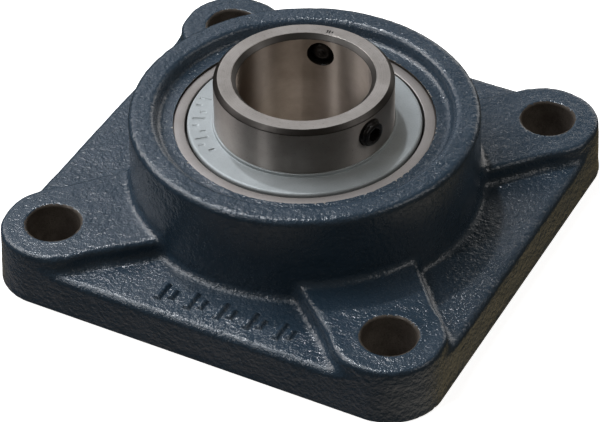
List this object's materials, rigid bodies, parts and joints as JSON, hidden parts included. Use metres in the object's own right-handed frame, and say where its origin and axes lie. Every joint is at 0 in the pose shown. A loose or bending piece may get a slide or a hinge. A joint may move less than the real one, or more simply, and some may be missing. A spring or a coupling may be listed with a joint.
{
  "type": "flange mount bearing",
  "caption": "Square flange mount bearing: cast housing with bolt lugs and a self-aligning ball bearing insert that clamps a shaft with set screws.",
  "frame": {"origin": "centre of the mounting face, on the shaft's axis", "axes": "+Z along the shaft's axis, out of the front; bolt holes on the diagonals; grease nipple on the +Y side"},
  "size_m": [0.108, 0.108, 0.0402],
  "materials": {
    "painted_iron": "dark blue-grey paint over sand-cast iron, bare machined seat and mounting face",
    "ring_steel": "ground bearing steel",
    "ball_steel": "polished",
    "cage_steel": "pressed sheet steel",
    "rivet_steel": "headed wire",
    "spring_steel": "plain steel",
    "seal_rubber": "moulded nitrile rubber, brown-black",
    "zinc_steel": "matte zinc plate",
    "black_steel": "black oxide"
  },
  "bodies": {
    "housing": {"housing": "painted_iron", "grease_nipple": "zinc_steel", "nipple_spring": "spring_steel"},
    "check_ball": {"nipple_ball": "ball_steel"},
    "stop_pin": {"stop_pin": "spring_steel"},
    "outer_ring": {"outer_ring": "ring_steel", "seal_core_top": "cage_steel", "seal_rubber_top": "seal_rubber", "seal_core_bottom": "cage_steel", "seal_rubber_bottom": "seal_rubber"},
    "inner_ring": {"inner_ring": "ring_steel", "slinger_top": "zinc_steel", "slinger_bottom": "zinc_steel"},
    "cage": {"cage_top": "cage_steel", "cage_bottom": "cage_steel", "cage_rivets": "rivet_steel"},
    "set_screw_1": {"set_screw_1": "black_steel"},
    "set_screw_2": {"set_screw_2": "black_steel"},
    "ball_1": {"ball_1": "ball_steel"},
    "ball_2": {"ball_2": "ball_steel"},
    "ball_3": {"ball_3": "ball_steel"},
    "ball_4": {"ball_4": "ball_steel"},
    "ball_5": {"ball_5": "ball_steel"},
    "ball_6": {"ball_6": "ball_steel"},
    "ball_7": {"ball_7": "ball_steel"},
    "ball_8": {"ball_8": "ball_steel"},
    "ball_9": {"ball_9": "ball_steel"}
  },
  "joints": [
    {"name": "nipple_check", "type": "slide", "parent": "housing", "child": "check_ball", "axis": [0, -1, 0], "range_m": [0, 0.0008], "stiffness_N_per_m": 20, "springref_m": -0.0005, "deforming": ["nipple_spring"]},
    {"name": "insert_swing", "type": "hinge", "parent": "housing", "child": "stop_pin", "pos_m": [0, 0, 0.018], "axis": [0, 1, 0], "range_deg": [-3, 3]},
    {"name": "insert_roll", "type": "hinge", "parent": "stop_pin", "child": "outer_ring", "pos_m": [0, 0, 0.018], "axis": [1, 0, 0], "range_deg": [-3, 3]},
    {"name": "shaft_spin", "type": "hinge", "parent": "outer_ring", "child": "inner_ring", "pos_m": [0, 0, 0.018], "axis": [0, 0, 1], "continuous": true},
    {"name": "cage_orbit", "type": "hinge", "parent": "outer_ring", "child": "cage", "pos_m": [0, 0, 0.018], "axis": [0, 0, 1], "continuous": true},
    {"name": "set_screw_1_travel", "type": "slide", "parent": "inner_ring", "child": "set_screw_1", "axis": [0.9563, -0.2924, 0], "range_m": [-0.0014, 0.002]},
    {"name": "set_screw_2_travel", "type": "slide", "parent": "inner_ring", "child": "set_screw_2", "axis": [-0.225, 0.9744, 0], "range_m": [-0.0014, 0.002]},
    {"name": "ball_1_spin", "type": "hinge", "parent": "cage", "child": "ball_1", "pos_m": [0.023, 0, 0.018], "axis": [0, 0, 1], "continuous": true},
    {"name": "ball_2_spin", "type": "hinge", "parent": "cage", "child": "ball_2", "pos_m": [0.01762, 0.01478, 0.018], "axis": [0, 0, 1], "continuous": true},
    {"name": "ball_3_spin", "type": "hinge", "parent": "cage", "child": "ball_3", "pos_m": [0.00399, 0.02265, 0.018], "axis": [0, 0, 1], "continuous": true},
    {"name": "ball_4_spin", "type": "hinge", "parent": "cage", "child": "ball_4", "pos_m": [-0.0115, 0.01992, 0.018], "axis": [0, 0, 1], "continuous": true},
    {"name": "ball_5_spin", "type": "hinge", "parent": "cage", "child": "ball_5", "pos_m": [-0.02161, 0.00787, 0.018], "axis": [0, 0, 1], "continuous": true},
    {"name": "ball_6_spin", "type": "hinge", "parent": "cage", "child": "ball_6", "pos_m": [-0.02161, -0.00787, 0.018], "axis": [0, 0, 1], "continuous": true},
    {"name": "ball_7_spin", "type": "hinge", "parent": "cage", "child": "ball_7", "pos_m": [-0.0115, -0.01992, 0.018], "axis": [0, 0, 1], "continuous": true},
    {"name": "ball_8_spin", "type": "hinge", "parent": "cage", "child": "ball_8", "pos_m": [0.00399, -0.02265, 0.018], "axis": [0, 0, 1], "continuous": true},
    {"name": "ball_9_spin", "type": "hinge", "parent": "cage", "child": "ball_9", "pos_m": [0.01762, -0.01478, 0.018], "axis": [0, 0, 1], "continuous": true}
  ],
  "couplings": [
    {"joint": "cage_orbit", "follows": "shaft_spin", "ratio": 0.39647},
    {"joint": "ball_1_spin", "follows": "shaft_spin", "ratio": -2.3112},
    {"joint": "ball_2_spin", "follows": "shaft_spin", "ratio": -2.3112},
    {"joint": "ball_3_spin", "follows": "shaft_spin", "ratio": -2.3112},
    {"joint": "ball_4_spin", "follows": "shaft_spin", "ratio": -2.3112},
    {"joint": "ball_5_spin", "follows": "shaft_spin", "ratio": -2.3112},
    {"joint": "ball_6_spin", "follows": "shaft_spin", "ratio": -2.3112},
    {"joint": "ball_7_spin", "follows": "shaft_spin", "ratio": -2.3112},
    {"joint": "ball_8_spin", "follows": "shaft_spin", "ratio": -2.3112},
    {"joint": "ball_9_spin", "follows": "shaft_spin", "ratio": -2.3112}
  ]
}
